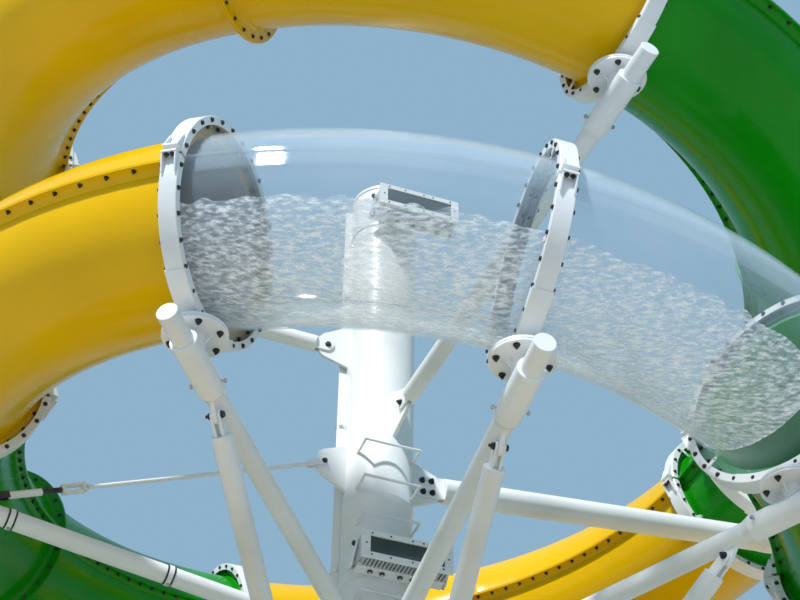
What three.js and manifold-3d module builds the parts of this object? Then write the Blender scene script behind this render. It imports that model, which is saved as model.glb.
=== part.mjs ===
import * as THREE from "three";
import { mergeVertices } from "three/addons/utils/BufferGeometryUtils.js";
import Module from "manifold-3d";

const wasm = await Module();
wasm.setup();

// Water slide tower: a steel mast that carries one closed tube slide, coiled round it from the
// top down to the ground. Millimetres, +Z up, origin under the middle of the mast, on the ground.
// Angles on the coil are in degrees: 0 faces -Y, +90 faces +X, and the water runs with the angle.

// The coil: falls are in millimetres per radian of turn
const CLEAR_LEVEL = 8380;
const COIL_RADIUS = 2934;
const COIL_OFF_CENTRE = 100;
const COIL_WIDENING = 8;
const FALL = 330;
const EXTRA_FALL_ABOVE = 7;
const EXTRA_FALL_BELOW = 250;

// The tube
const TUBE_RADIUS = 520;
const TUBE_WALL = 16;
const FLANGE_RADIUS = 600;
const FLANGE_THICK = 14;
const SEAM_REACH = 584;
const SEAM_THICK = 24;
const TUBE_SIDES = 12;
const FIT_GAP = 0.4;
const BEND_STEP = 18;

// The bays of the tube, from the top joint down: where each upper one starts, and their colours
const UPPER_STARTS = [-469.5, -440, -379.5, -334.5, -289.5, -250, -240, -195.5, -154.5, -109.5, -64.5];
const UPPER_PAINT = ["yellow", "yellow", "yellow", "green", "green", "green", "yellow", "yellow",
  "green", "green", "yellow"];
const CLEAR_START = -19.5;
const CLEAR_BAY = 32.3;
const CLEAR_PAINT = ["clear", "clear", "green"];
const LOWER_BAY = 55;
const LOWER_PAINT = ["yellow", "yellow", "green", "green", "yellow", "yellow", "green",
  "green", "yellow", "yellow", "green", "green"];
const LOWER_START = CLEAR_START + CLEAR_BAY * CLEAR_PAINT.length;

// The mast and its foot
const MAST_RADIUS = 230;
const MAST_TOP = 11430;
const MAST_SIDES = 24;
const CAP_OVERHANG = 6;
const CAP_THICK = 30;
const FOOT_SIZE = 1500;
const FOOT_THICK = 40;
const FOOT_RIBS = 8;
const RIB_HEIGHT = 320;
const RIB_REACH = 640;
const RIB_TOE = 60;
const RIB_TOP = 40;
const RIB_THICK = 24;

// The supports: each arm's climb from the mast to its joint. below is how far the arm runs under
// its ring, and fall how far its brace's foot is under its own plate on the mast.
const UPPER_ARMS = [
  { joint: -440, climb: 460 },
  { joint: -334.5, climb: 380 },
  { joint: -250, climb: 212, below: 143, radius: 84 },
  { joint: -154.5, climb: 0 },
  { joint: -64.5, climb: 200, prop: "stay" },
];
const CLEAR_ARMS = [
  { climb: 107, fall: 1740 },
  { climb: -45, below: 246, fall: 1490 },
  { climb: 29, fall: 1690 },
  { climb: 0 },
];
const RING_ALONE = -240;
const ARM_RADIUS = 57;
const ARM_BELOW_RING = 205;
const ARM_PAST_TUBE = 340;
const SLEEVE_RADIUS = 74;
const SLEEVE_OUT = 130;
const SLEEVE_IN = 260;
const BRACE_RADIUS = 57;
const BRACE_FALL = 1640;
const PIN_FROM_MAST = 2560;
const PIN_BELOW_ARM = 95;
const FORK_LENGTH = 107;
const FORK_HALF_WIDTH = 33;
const FORK_THICK = 62;
const LUG_BELOW_PIN = 40;
const LUG_HALF_WIDTH = 40;
const LUG_ROOT = 75;
const POST_RADIUS = 84;
const POST_BELOW = 2800;
const POST_FOOT_RADIUS = 230;
const POST_FOOT_THICK = 24;
const PLATE_REACH = 430;
const PLATE_THICK = 25;
const PLATE_TIP = 90;
const PLATE_ROOT = 190;
const RING_DEPTH = 20;
const RING_HALF_WIDTH = 50;
const NECK_RADIUS = 60;
const NECK_IN_RING = 12;
const DISC_RADIUS = 170;
const DISC_SIDES = 12;
const DISCS_THICK = 36;
const WELD = 40;
const PIPE_SIDES = 8;

// The stay that holds up the arm before the clear bays
const STAY_RADIUS = 14;
const STAY_COLLAR_RADIUS = 36;
const STAY_COLLAR = [0.72, 0.82];
const STAY_TOP = 8970;
const STAY_FROM_MAST = 2450;
const STAY_LUG_LENGTH = 110;
const STAY_LUG_HEIGHT = 150;

// Fittings on the mast
const TRUNK_WIDTH = 70;
const TRUNK_DEPTH = 50;
const TRUNK_SIDE = 25;
const TRUNK_LOW = 2200;
const TRUNK_BELOW_TOP = 60;
const LAMP_WIDTH = 590;
const LAMP_HEIGHT = 190;
const LAMP_DEPTH = 200;
const LAMP_FORWARD = 360;
const LAMP_TURN = 18.3;
const LAMP_YOKE_THICK = 16;
const LAMP_YOKE_HEIGHT = 150;
const LAMP_YOKE_REACH = 140;
const LAMP_NECK_WIDTH = 120;
const LAMP_NECK_HEIGHT = 60;
const LAMPS = [
  { name: "lower_lamp", level: 8130, side: 52 },
  { name: "top_lamp", level: 11113, side: 109 },
];

const PAINT = {
  white: { color: 0xe6eaec, roughness: 0.4, metalness: 0.1 },
  yellow: { color: 0xe8b400, roughness: 0.3, metalness: 0 },
  green: { color: 0x149612, roughness: 0.3, metalness: 0 },
  clear: { color: 0xd9ecf5, roughness: 0.05, metalness: 0, transparent: true, opacity: 0.4 },
  lamp: { color: 0x9aa4a8, roughness: 0.4, metalness: 0.3 },
};

const tower = new THREE.Group();
const rad = THREE.MathUtils.degToRad;

function addPart(name, geometry, paint) {
  const mesh = new THREE.Mesh(geometry, new THREE.MeshStandardMaterial(PAINT[paint]));
  mesh.name = name;
  tower.add(mesh);
}

// Names such as support_01
function numbered(stem, index) {
  return `${stem}_${String(index + 1).padStart(2, "0")}`;
}

// A closed geometry as a solid, and a solid as a geometry
function solid(geometry) {
  const bare = geometry.clone();
  bare.deleteAttribute("normal");
  bare.deleteAttribute("uv");
  const merged = mergeVertices(bare, 0.001);
  return new wasm.Manifold(new wasm.Mesh({
    numProp: 3,
    vertProperties: new Float32Array(merged.attributes.position.array),
    triVerts: new Uint32Array(merged.index.array),
  }));
}

function shapeOf(body) {
  const mesh = body.getMesh();
  const geometry = new THREE.BufferGeometry();
  geometry.setAttribute("position", new THREE.BufferAttribute(mesh.vertProperties, 3));
  geometry.setIndex(new THREE.BufferAttribute(mesh.triVerts, 1));
  return geometry;
}

function join(geometries) {
  return shapeOf(geometries.map(solid).reduce((whole, piece) => whole.add(piece)));
}

function boxAt(size, x, y, z) {
  return new THREE.BoxGeometry(...size).translate(x, y, z);
}

// The middle of the tube at one angle; the lower coil gets its steeper fall over one radian
function coilCentre(angle) {
  const turn = rad(angle);
  const above = Math.min(turn, 0);
  const below = Math.max(turn - rad(LOWER_START), 0);
  const steepened = below < 1 ? below ** 2 / 2 : below - 0.5;
  const reach = COIL_RADIUS - COIL_WIDENING * above;
  const level = CLEAR_LEVEL - FALL * turn + EXTRA_FALL_ABOVE * above ** 2
    - EXTRA_FALL_BELOW * steepened;
  return new THREE.Vector3(COIL_OFF_CENTRE + reach * Math.sin(turn), -reach * Math.cos(turn), level);
}

// The tube's own directions at one place: away from the mast, along the water, and up
function coilFrame(angle) {
  const turn = rad(angle);
  const outward = new THREE.Vector3(Math.sin(turn), -Math.cos(turn), 0);
  const along = coilCentre(angle + 0.5).sub(coilCentre(angle - 0.5)).normalize();
  const up = outward.clone().cross(along).normalize();
  const out = along.clone().cross(up).normalize();
  return { centre: coilCentre(angle), out, along, up };
}

// A closed skin over rows of points: the last row joins the first, or flat caps close both ends
function skin(rows, capped = false) {
  const count = rows[0].length;
  const faces = [];
  const bands = capped ? rows.length - 1 : rows.length;
  for (let i = 0; i < bands; i += 1) {
    const next = (i + 1) % rows.length;
    for (let j = 0; j < count; j += 1) {
      const k = (j + 1) % count;
      const [a, b, c, d] = [i * count + j, i * count + k, next * count + k, next * count + j];
      faces.push(a, c, b, a, d, c);
    }
  }
  if (capped) {
    const end = bands * count;
    for (let j = 1; j + 1 < count; j += 1) {
      faces.push(0, j, j + 1, end, end + j + 1, end + j);
    }
  }
  const points = rows.flat().flatMap((p) => [p.x, p.y, p.z]);
  const geometry = new THREE.BufferGeometry();
  geometry.setAttribute("position", new THREE.Float32BufferAttribute(points, 3));
  geometry.setIndex(faces);
  return geometry;
}

// One ring of the tube's polygon, at a coil angle shifted by a few millimetres along the water
function ringAt(angle, shift, radius) {
  const { centre, out, along, up } = coilFrame(angle);
  const middle = centre.addScaledVector(along, shift);
  return Array.from({ length: TUBE_SIDES }, (_, i) => {
    const turn = (2 * Math.PI * i) / TUBE_SIDES;
    return middle.clone()
      .addScaledVector(out, radius * Math.cos(turn))
      .addScaledVector(up, radius * Math.sin(turn));
  });
}

function bendAngles(start, end) {
  const steps = Math.round((end - start) / BEND_STEP);
  return Array.from({ length: steps + 1 }, (_, i) => start + ((end - start) * i) / steps);
}

// The shell of one bay, with a bolting flange at each end
function tubeShell(angles) {
  const inner = TUBE_RADIUS - TUBE_WALL;
  const half = FIT_GAP / 2;
  const behindFlange = half + FLANGE_THICK;
  const start = angles[0];
  const end = angles[angles.length - 1];
  const bends = angles.slice(1, -1);
  return skin([
    ringAt(start, half, FLANGE_RADIUS),
    ringAt(start, behindFlange, FLANGE_RADIUS),
    ringAt(start, behindFlange, TUBE_RADIUS),
    ...bends.map((angle) => ringAt(angle, 0, TUBE_RADIUS)),
    ringAt(end, -behindFlange, TUBE_RADIUS),
    ringAt(end, -behindFlange, FLANGE_RADIUS),
    ringAt(end, -half, FLANGE_RADIUS),
    ringAt(end, -half, inner),
    ...bends.reverse().map((angle) => ringAt(angle, 0, inner)),
    ringAt(start, half, inner),
  ]);
}

// The flange that joins the tube's upper and lower halves, on its outer or its inner side
function seamFlange(angles, side) {
  const root = TUBE_RADIUS - TUBE_WALL / 2;
  const corners = [[root, -1], [SEAM_REACH, -1], [SEAM_REACH, 1], [root, 1]];
  const shifts = angles.map(() => 0);
  shifts[0] = FLANGE_THICK / 2;
  shifts[angles.length - 1] = -FLANGE_THICK / 2;
  const rows = angles.map((angle, i) => {
    const { centre, out, along, up } = coilFrame(angle);
    const middle = centre.addScaledVector(along, shifts[i]);
    return corners.map(([reach, lift]) => middle.clone()
      .addScaledVector(out, side * reach)
      .addScaledVector(up, (side * lift * SEAM_THICK) / 2));
  });
  return skin(rows, true);
}

function tubeBay(start, end) {
  const angles = bendAngles(start, end);
  return join([tubeShell(angles), seamFlange(angles, 1), seamFlange(angles, -1)]);
}

// A round bar between two points
function bar(from, to, radius, sides = PIPE_SIDES) {
  const geometry = new THREE.CylinderGeometry(radius, radius, from.distanceTo(to), sides);
  const turn = new THREE.Quaternion().setFromUnitVectors(
    new THREE.Vector3(0, 1, 0), to.clone().sub(from).normalize());
  geometry.applyQuaternion(turn);
  const middle = from.clone().add(to).multiplyScalar(0.5);
  return geometry.translate(middle.x, middle.y, middle.z);
}

// A plumb bar at one place in plan
function upright(place, radius, low, high, sides = PIPE_SIDES) {
  return bar(new THREE.Vector3(place.x, place.y, low), new THREE.Vector3(place.x, place.y, high),
    radius, sides);
}

// A flat plate that stands on edge in the upright plane through the mast at one bearing
function finPlate(bearing, corners, thick) {
  const shape = new THREE.Shape(corners.map(([reach, level]) => new THREE.Vector2(reach, level)));
  const geometry = new THREE.ExtrudeGeometry(shape, { depth: thick, bevelEnabled: false });
  geometry.translate(0, 0, -thick / 2);
  geometry.rotateX(Math.PI / 2);
  return geometry.rotateZ(bearing);
}

// The lowest point of the clamp ring at a joint
function ringFoot(joint) {
  const { centre, up } = coilFrame(joint);
  return centre.addScaledVector(up, -FLANGE_RADIUS - RING_DEPTH);
}

// Each support's joint on the coil, the climb of its arm, and what props the arm. The arms of
// every second lower joint are level.
function supportList() {
  const clear = CLEAR_ARMS.map((arm, i) => ({ ...arm, joint: CLEAR_START + CLEAR_BAY * i, prop: "brace" }));
  const lower = Array.from({ length: LOWER_PAINT.length / 2 }, (_, i) => {
    const joint = LOWER_START + LOWER_BAY * (2 * i + 2);
    const low = ringFoot(joint).z < POST_BELOW;
    return { joint, climb: 0, prop: low ? "post" : "brace" };
  });
  return [...UPPER_ARMS, ...clear, ...lower];
}

// Where a support's pieces run: levels along its arm, and places by reach from the mast and level
function supportPlan({ joint, climb, prop, below = ARM_BELOW_RING, radius = ARM_RADIUS, fall = BRACE_FALL }) {
  const seat = ringFoot(joint);
  const bearing = Math.atan2(seat.y, seat.x);
  const reach = Math.hypot(seat.x, seat.y);
  const slope = climb / (reach - PLATE_REACH);
  const levelAt = (distance) => seat.z - below - slope * (reach - distance);
  const at = (distance, level) => new THREE.Vector3(
    distance * Math.cos(bearing), distance * Math.sin(bearing), level);
  const braceFoot = levelAt(PLATE_REACH) - fall;
  return { joint, prop, radius, seat, bearing, reach, levelAt, at, braceFoot };
}

// The clamp ring round a joint's flanges
function clampRing(joint) {
  const inner = FLANGE_RADIUS + FIT_GAP;
  const outer = inner + RING_DEPTH;
  return skin([
    ringAt(joint, -RING_HALF_WIDTH, outer),
    ringAt(joint, RING_HALF_WIDTH, outer),
    ringAt(joint, RING_HALF_WIDTH, inner),
    ringAt(joint, -RING_HALF_WIDTH, inner),
  ]);
}

// The post under an arm that is near the ground
function postPieces({ seat, reach, levelAt }) {
  return [
    upright(seat, POST_RADIUS, POST_FOOT_THICK / 2, levelAt(reach)),
    upright(seat, POST_FOOT_RADIUS, 0, POST_FOOT_THICK, DISC_SIDES),
  ];
}

// The sloping brace under an arm, its fork, and the lug that the fork is pinned to
function bracePieces({ bearing, levelAt, at, braceFoot }) {
  const pin = new THREE.Vector2(PIN_FROM_MAST, levelAt(PIN_FROM_MAST) - PIN_BELOW_ARM);
  const foot = new THREE.Vector2(PLATE_REACH, braceFoot);
  const along = pin.clone().sub(foot).normalize();
  const across = new THREE.Vector2(-along.y, along.x).multiplyScalar(FORK_HALF_WIDTH);
  const onBrace = (past) => pin.clone().addScaledVector(along, past);
  const root = onBrace(-FORK_LENGTH - WELD);
  const tip = onBrace(FORK_HALF_WIDTH);
  const fork = [[root, -1], [tip, -1], [tip, 1], [root, 1]].map(([spot, side]) => (
    spot.clone().addScaledVector(across, side).toArray()));
  const arm = levelAt(PIN_FROM_MAST);
  const lug = [
    [PIN_FROM_MAST - LUG_ROOT, arm],
    [PIN_FROM_MAST - LUG_HALF_WIDTH, pin.y - LUG_BELOW_PIN],
    [PIN_FROM_MAST + LUG_HALF_WIDTH, pin.y - LUG_BELOW_PIN],
    [PIN_FROM_MAST + LUG_ROOT, arm],
  ];
  const pipe = [onBrace(-FORK_LENGTH), foot.clone().addScaledVector(along, MAST_RADIUS - PLATE_REACH)];
  return [
    finPlate(bearing, lug, PLATE_THICK),
    finPlate(bearing, fork, FORK_THICK),
    bar(...pipe.map((spot) => at(spot.x, spot.y)), BRACE_RADIUS),
  ];
}

// The lug on top of an arm that the stay is pinned to
function stayLug({ bearing, levelAt }) {
  const end = STAY_FROM_MAST + STAY_LUG_LENGTH;
  return [finPlate(bearing, [
    [STAY_FROM_MAST, levelAt(STAY_FROM_MAST)],
    [end, levelAt(end)],
    [end, levelAt(end) + STAY_LUG_HEIGHT],
    [STAY_FROM_MAST, levelAt(STAY_FROM_MAST) + STAY_LUG_HEIGHT],
  ], PLATE_THICK)];
}

// One support: clamp ring, neck with its bolted discs, arm with its sleeve, and its prop
function supportFrame(plan) {
  const { joint, seat, reach, levelAt, at, prop, radius } = plan;
  const sleeve = Math.max(SLEEVE_RADIUS, radius);
  const armTop = levelAt(reach) + sleeve;
  const discLow = (armTop + seat.z - DISCS_THICK) / 2;
  const onArm = (distance) => at(distance, levelAt(distance));
  const props = { post: postPieces, brace: bracePieces, stay: stayLug };
  return cutBack(join([
    clampRing(joint),
    upright(seat, NECK_RADIUS, armTop - WELD, seat.z + NECK_IN_RING),
    upright(seat, DISC_RADIUS, discLow, discLow + DISCS_THICK, DISC_SIDES),
    bar(onArm(MAST_RADIUS), onArm(reach + ARM_PAST_TUBE), radius),
    bar(onArm(reach - SLEEVE_IN), onArm(reach + SLEEVE_OUT), sleeve),
    ...(prop ? props[prop](plan) : []),
  ]), plan.bearing);
}

// Arms, braces and the stay end square against the mast's plates
function cutBack(geometry, bearing) {
  const reach = PLATE_REACH + FIT_GAP;
  const block = boxAt([reach, 2 * reach, 2 * MAST_TOP], reach / 2, 0, 0).rotateZ(bearing);
  return shapeOf(solid(geometry).subtract(solid(block)));
}

// The stay from the mast down to the lug on its arm, with a collar where it is tightened
function stayRod({ bearing, levelAt, at }) {
  const end = STAY_FROM_MAST - FIT_GAP;
  const low = levelAt(end) + STAY_LUG_HEIGHT / 2 + ARM_RADIUS / 2;
  const top = at(PLATE_REACH, STAY_TOP);
  const foot = at(end + WELD, low);
  const along = (share) => top.clone().lerp(foot, share);
  const rod = join([bar(top, foot, STAY_RADIUS), bar(...STAY_COLLAR.map(along), STAY_COLLAR_RADIUS)]);
  const beyond = boxAt([WELD * 4, WELD * 4, STAY_TOP], end + WELD * 2, 0, low).rotateZ(bearing);
  return cutBack(shapeOf(solid(rod).subtract(solid(beyond))), bearing);
}

// The plates on the mast that the arms, the braces and the stay are pinned to
function mastPlates({ bearing, levelAt, prop, braceFoot }) {
  const levels = { brace: [braceFoot], stay: [STAY_TOP] }[prop] ?? [];
  const root = MAST_RADIUS - WELD;
  return [levelAt(PLATE_REACH), ...levels].map((level) => finPlate(bearing, [
    [root, level - PLATE_ROOT],
    [PLATE_REACH, level - PLATE_TIP],
    [PLATE_REACH, level + PLATE_TIP],
    [root, level + PLATE_ROOT],
  ], PLATE_THICK));
}

function mast(plans) {
  const axis = new THREE.Vector3();
  return join([
    upright(axis, MAST_RADIUS, FOOT_THICK + FIT_GAP, MAST_TOP, MAST_SIDES),
    upright(axis, MAST_RADIUS + CAP_OVERHANG, MAST_TOP - CAP_THICK / 2, MAST_TOP + CAP_THICK / 2, MAST_SIDES),
    ...plans.flatMap(mastPlates),
  ]);
}

// The square plate under the mast, with ribs that stand against it all round
function basePlate() {
  const inner = MAST_RADIUS + FIT_GAP;
  const low = FOOT_THICK / 2;
  const rib = [
    [inner, low],
    [RIB_REACH, low],
    [RIB_REACH, FOOT_THICK + RIB_TOE],
    [inner + RIB_TOP, FOOT_THICK + RIB_HEIGHT],
    [inner, FOOT_THICK + RIB_HEIGHT],
  ];
  const ribs = Array.from({ length: FOOT_RIBS }, (_, i) => (
    finPlate((2 * Math.PI * (i + 0.5)) / FOOT_RIBS, rib, RIB_THICK)));
  return join([boxAt([FOOT_SIZE, FOOT_SIZE, FOOT_THICK], 0, 0, FOOT_THICK / 2), ...ribs]);
}

function cableTrunk() {
  const high = MAST_TOP - TRUNK_BELOW_TOP;
  const x = -MAST_RADIUS - FIT_GAP - TRUNK_DEPTH / 2;
  return boxAt([TRUNK_DEPTH, TRUNK_WIDTH, high - TRUNK_LOW], x, TRUNK_SIDE, (TRUNK_LOW + high) / 2);
}

function lampBox(level, side) {
  return boxAt([LAMP_WIDTH, LAMP_DEPTH, LAMP_HEIGHT], side, -LAMP_FORWARD, level).rotateZ(rad(LAMP_TURN));
}

// The yoke that holds a lamp: a back plate with a cheek at each end, on a neck shaped to the mast
function lampBracket(level, side) {
  const front = LAMP_FORWARD - LAMP_DEPTH / 2 - FIT_GAP;
  const cheek = LAMP_WIDTH / 2 + FIT_GAP + LAMP_YOKE_THICK / 2;
  const back = boxAt([2 * cheek + LAMP_YOKE_THICK, LAMP_YOKE_THICK, LAMP_YOKE_HEIGHT],
    side, LAMP_YOKE_THICK / 2 - front, level);
  const cheeks = [-cheek, cheek].map((offset) => boxAt([LAMP_YOKE_THICK, LAMP_YOKE_REACH, LAMP_YOKE_HEIGHT],
    side + offset, LAMP_YOKE_THICK - front - LAMP_YOKE_REACH / 2, level));
  const neck = boxAt([LAMP_NECK_WIDTH, front, LAMP_NECK_HEIGHT],
    side / 3, LAMP_YOKE_THICK / 4 - front / 2, level);
  const pipe = upright(new THREE.Vector3(), MAST_RADIUS + FIT_GAP, 0, 2 * level, MAST_SIDES);
  const yoke = join([back, ...cheeks, neck]).rotateZ(rad(LAMP_TURN));
  return shapeOf(solid(yoke).subtract(solid(pipe)));
}

function addSteel() {
  const plans = supportList().map(supportPlan);
  addPart("base_plate", basePlate(), "white");
  addPart("mast", mast(plans), "white");
  addPart("cable_trunk", cableTrunk(), "white");
  plans.forEach((plan, i) => addPart(numbered("support", i), supportFrame(plan), "white"));
  addPart("joint_ring", clampRing(RING_ALONE), "white");
  addPart("stay_rod", stayRod(plans.find(({ prop }) => prop === "stay")), "white");
}

function addTube() {
  const upperJoints = [...UPPER_STARTS, CLEAR_START];
  UPPER_PAINT.forEach((paint, i) => {
    addPart(numbered("upper_bay", i), tubeBay(upperJoints[i], upperJoints[i + 1]), paint);
  });
  const clearNames = ["clear_bay_01", "clear_bay_02", "green_bay"];
  CLEAR_PAINT.forEach((paint, i) => {
    const start = CLEAR_START + CLEAR_BAY * i;
    addPart(clearNames[i], tubeBay(start, start + CLEAR_BAY), paint);
  });
  LOWER_PAINT.forEach((paint, i) => {
    const start = LOWER_START + LOWER_BAY * i;
    addPart(numbered("lower_bay", i), tubeBay(start, start + LOWER_BAY), paint);
  });
}

function addLamps() {
  LAMPS.forEach(({ name, level, side }) => {
    addPart(name, lampBox(level, side), "lamp");
    addPart(`${name}_bracket`, lampBracket(level, side), "white");
  });
}

addSteel();
addTube();
addLamps();

export default tower;
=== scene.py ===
# The looks of a water slide tower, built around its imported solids. Metres, +Z up.
# Angles on the coil are in degrees: 0 faces -Y, +90 faces +X, and the water runs with the angle.
import math

import bmesh
import bpy
from mathutils import Matrix, Vector, noise


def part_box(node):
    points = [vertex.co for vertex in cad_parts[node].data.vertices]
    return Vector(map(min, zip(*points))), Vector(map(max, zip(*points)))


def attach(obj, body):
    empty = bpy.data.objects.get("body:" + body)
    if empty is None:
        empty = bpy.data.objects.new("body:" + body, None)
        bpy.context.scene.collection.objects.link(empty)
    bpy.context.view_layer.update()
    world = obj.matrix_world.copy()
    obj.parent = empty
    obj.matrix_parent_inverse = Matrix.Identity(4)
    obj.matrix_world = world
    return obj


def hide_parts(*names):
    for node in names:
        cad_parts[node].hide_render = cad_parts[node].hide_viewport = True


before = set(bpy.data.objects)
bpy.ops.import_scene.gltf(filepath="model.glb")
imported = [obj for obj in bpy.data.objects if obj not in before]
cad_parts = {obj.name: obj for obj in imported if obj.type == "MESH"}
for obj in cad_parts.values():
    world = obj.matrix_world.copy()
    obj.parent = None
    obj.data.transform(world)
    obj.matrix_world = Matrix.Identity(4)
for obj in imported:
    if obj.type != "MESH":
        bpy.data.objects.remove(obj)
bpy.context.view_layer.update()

UP = Vector((0, 0, 1))
X_WAY = Vector((1, 0, 0))
Y_WAY = Vector((0, 1, 0))
MAST_FOOT = Vector((0, 0, 0))

# The coil: falls are in metres per radian of turn
CLEAR_LEVEL = 8.38
COIL_RADIUS = 2.934
COIL_OFF_CENTRE = 0.1
COIL_WIDENING = 0.008
FALL = 0.33
EXTRA_FALL_ABOVE = 0.007
EXTRA_FALL_BELOW = 0.25

# The bays of the tube: where each upper one starts, and the letters of their colours (C is clear)
UPPER_STARTS = (-469.5, -440, -379.5, -334.5, -289.5, -250, -240, -195.5, -154.5, -109.5, -64.5)
UPPER_PAINT = "YYYGGGYYGGY"
CLEAR_START = -19.5
CLEAR_BAY = 32.3
CLEAR_NAMES = ("clear_bay_01", "clear_bay_02", "green_bay")
CLEAR_PAINT = "CCG"
LOWER_BAY = 55
LOWER_PAINT = "YYGGYYGGYYGG"
LOWER_START = CLEAR_START + CLEAR_BAY * len(CLEAR_NAMES)

# The tube's section. Its shell has AROUND sides, with a row every BEND_STEP degrees of the coil.
TUBE_RADIUS = 0.52
TUBE_WALL = 0.010
FLANGE_RADIUS = 0.6
FLANGE_THICK = 0.012
SEAM_REACH = 0.584
SEAM_HALF = 0.012
HALF_GAP = 0.0006
AROUND = 64
BEND_STEP = 2.6
BOLT_SPACING = 0.13
TUBE_BOLT_SIZE = 0.0105
SEAM_BOLT_RADIUS = 0.556
FLANGE_BOLT_RADIUS = 0.566

# The water film. Its borders, its narrowing on the way down and its thin edge are in degrees round
# the tube, and its step, margin and end gap in degrees along the coil.
FILM_LOW_BORDER = 196
FILM_HIGH_BORDER = 336
FILM_NARROWING = 11
FILM_COLUMNS = 70
FILM_STEP = 0.36
FILM_MARGIN = 0.2
FILM_END_GAP = 4
FILM_OFF_WALL = 0.001
FILM_DEPTH = 0.012
FILM_RIPPLE = 0.011
FILM_EDGE_DEPTH = 0.003
FILM_EDGE_TURN = 20

# Clamp rings, necks and arms
RING_OUTER = 0.62
RING_HALF_WIDTH = 0.05
RING_LIP = 0.572
RING_SHEET = 0.008
RING_BOLT_RADIUS = 0.597
RING_ALONE = -240
EAR_OFF_RING = 0.018
EAR_APART = 0.022
SADDLE_SHEET = 0.006
SADDLE_HALF_TURN = 32
TAB_TURNS = (35, 145, 215, 325)
ARM_RADIUS = 0.057
ARM_BELOW_RING = 0.205
ARM_PAST_TUBE = 0.34
SLEEVE_RADIUS = 0.074
SLEEVE_OUT = 0.13
SLEEVE_IN = 0.26
DISC_RADIUS = 0.17
DISC_THICK = 0.016
DISC_BOLT_RADIUS = 0.137
NECK_RADIUS = 0.06
BRACE_RADIUS = 0.057
BRACE_FALL = 1.64
PIN_FROM_MAST = 2.56
PIN_BELOW_ARM = 0.095
BRACE_SHORT_OF_PIN = 0.107
FORK_LENGTH = 0.14
FORK_THICK = 0.014
POST_RADIUS = 0.084
POST_BELOW = 2.8
POST_FOOT_RADIUS = 0.23

# Each arm's climb from the mast to its joint. below is how far it runs under its ring, and fall
# how far its brace's foot is under its own plate on the mast.
UPPER_ARMS = (
    {"joint": -440, "climb": 0.46},
    {"joint": -334.5, "climb": 0.38},
    {"joint": -250, "climb": 0.212, "below": 0.143, "radius": 0.084},
    {"joint": -154.5, "climb": 0},
    {"joint": -64.5, "climb": 0.2, "prop": "stay"},
)
CLEAR_ARMS = (
    {"climb": 0.107, "fall": 1.74},
    {"climb": -0.045, "below": 0.246, "fall": 1.49},
    {"climb": 0.029, "fall": 1.69},
    {"climb": 0},
)

# The mast
MAST_RADIUS = 0.23
MAST_TOP = 11.43
MAST_WELDS = (2.9, 5.8, 8.7)
CAP_OVERHANG = 0.006
PLATE_REACH = 0.43
PLATE_THICK = 0.025
PLATE_TIP = 0.09
PLATE_ROOT = 0.19
STAY_TOP = 8.97
STAY_FROM_MAST = 2.45
BANDS_FROM_MAST = (2.32, 1.34)
FOOT_THICK = 0.04
ANCHOR_RADII = (0.62, 0.86)
STRAP_START = 0.3
STRAP_PITCH = 1.15
RUNG_BEARING = math.radians(-71.7)
RUNG_REACH = 0.298
RUNG_HALF_WIDTH = 0.184
RUNG_RADIUS = 0.009
RUNG_PITCH = 0.2835
RUNG_LOW = 2.517
RUNG_COUNT = 24
RUNG_FROM_LAMP = 0.12

# The lamps face the way the rungs do: each one's level and its shift to the side
LAMPS = {"lower_lamp": (8.13, 0.052), "top_lamp": (11.113, 0.109)}
LAMP_REACH = 0.36
LAMP_WIDTH = 0.59
LAMP_DEPTH = 0.2
LAMP_HEIGHT = 0.19
FRAME_BAR = 0.036
FRAME_SIDE = 0.056
FRAME_DEPTH = 0.022
FRAME_SCREWS = (-0.23, -0.11, 0.03, 0.1, 0.23)
SCREW_SIZE = 0.0045
FIN_COUNT = 23
FIN_PITCH = 0.024
GLAND_PLACES = (-0.19, -0.112, 0.003, 0.083, 0.19)
YOKE_THICK = 0.016
YOKE_STRAP = 0.036
YOKE_DROP = 0.075

SHARP_ANGLE = 33

# Places in a piece's list of materials: those of the steelwork, and a bay's lining
WHITE, BLACK, STEEL = 0, 1, 2
LINED = 2


# Mesh code

def square_to(axis):
    """Two directions square to an axis and to each other."""
    helper = UP if abs(axis.z) < 0.9 else X_WAY
    side = axis.cross(helper).normalized()
    return side, axis.cross(side).normalized()


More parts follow.
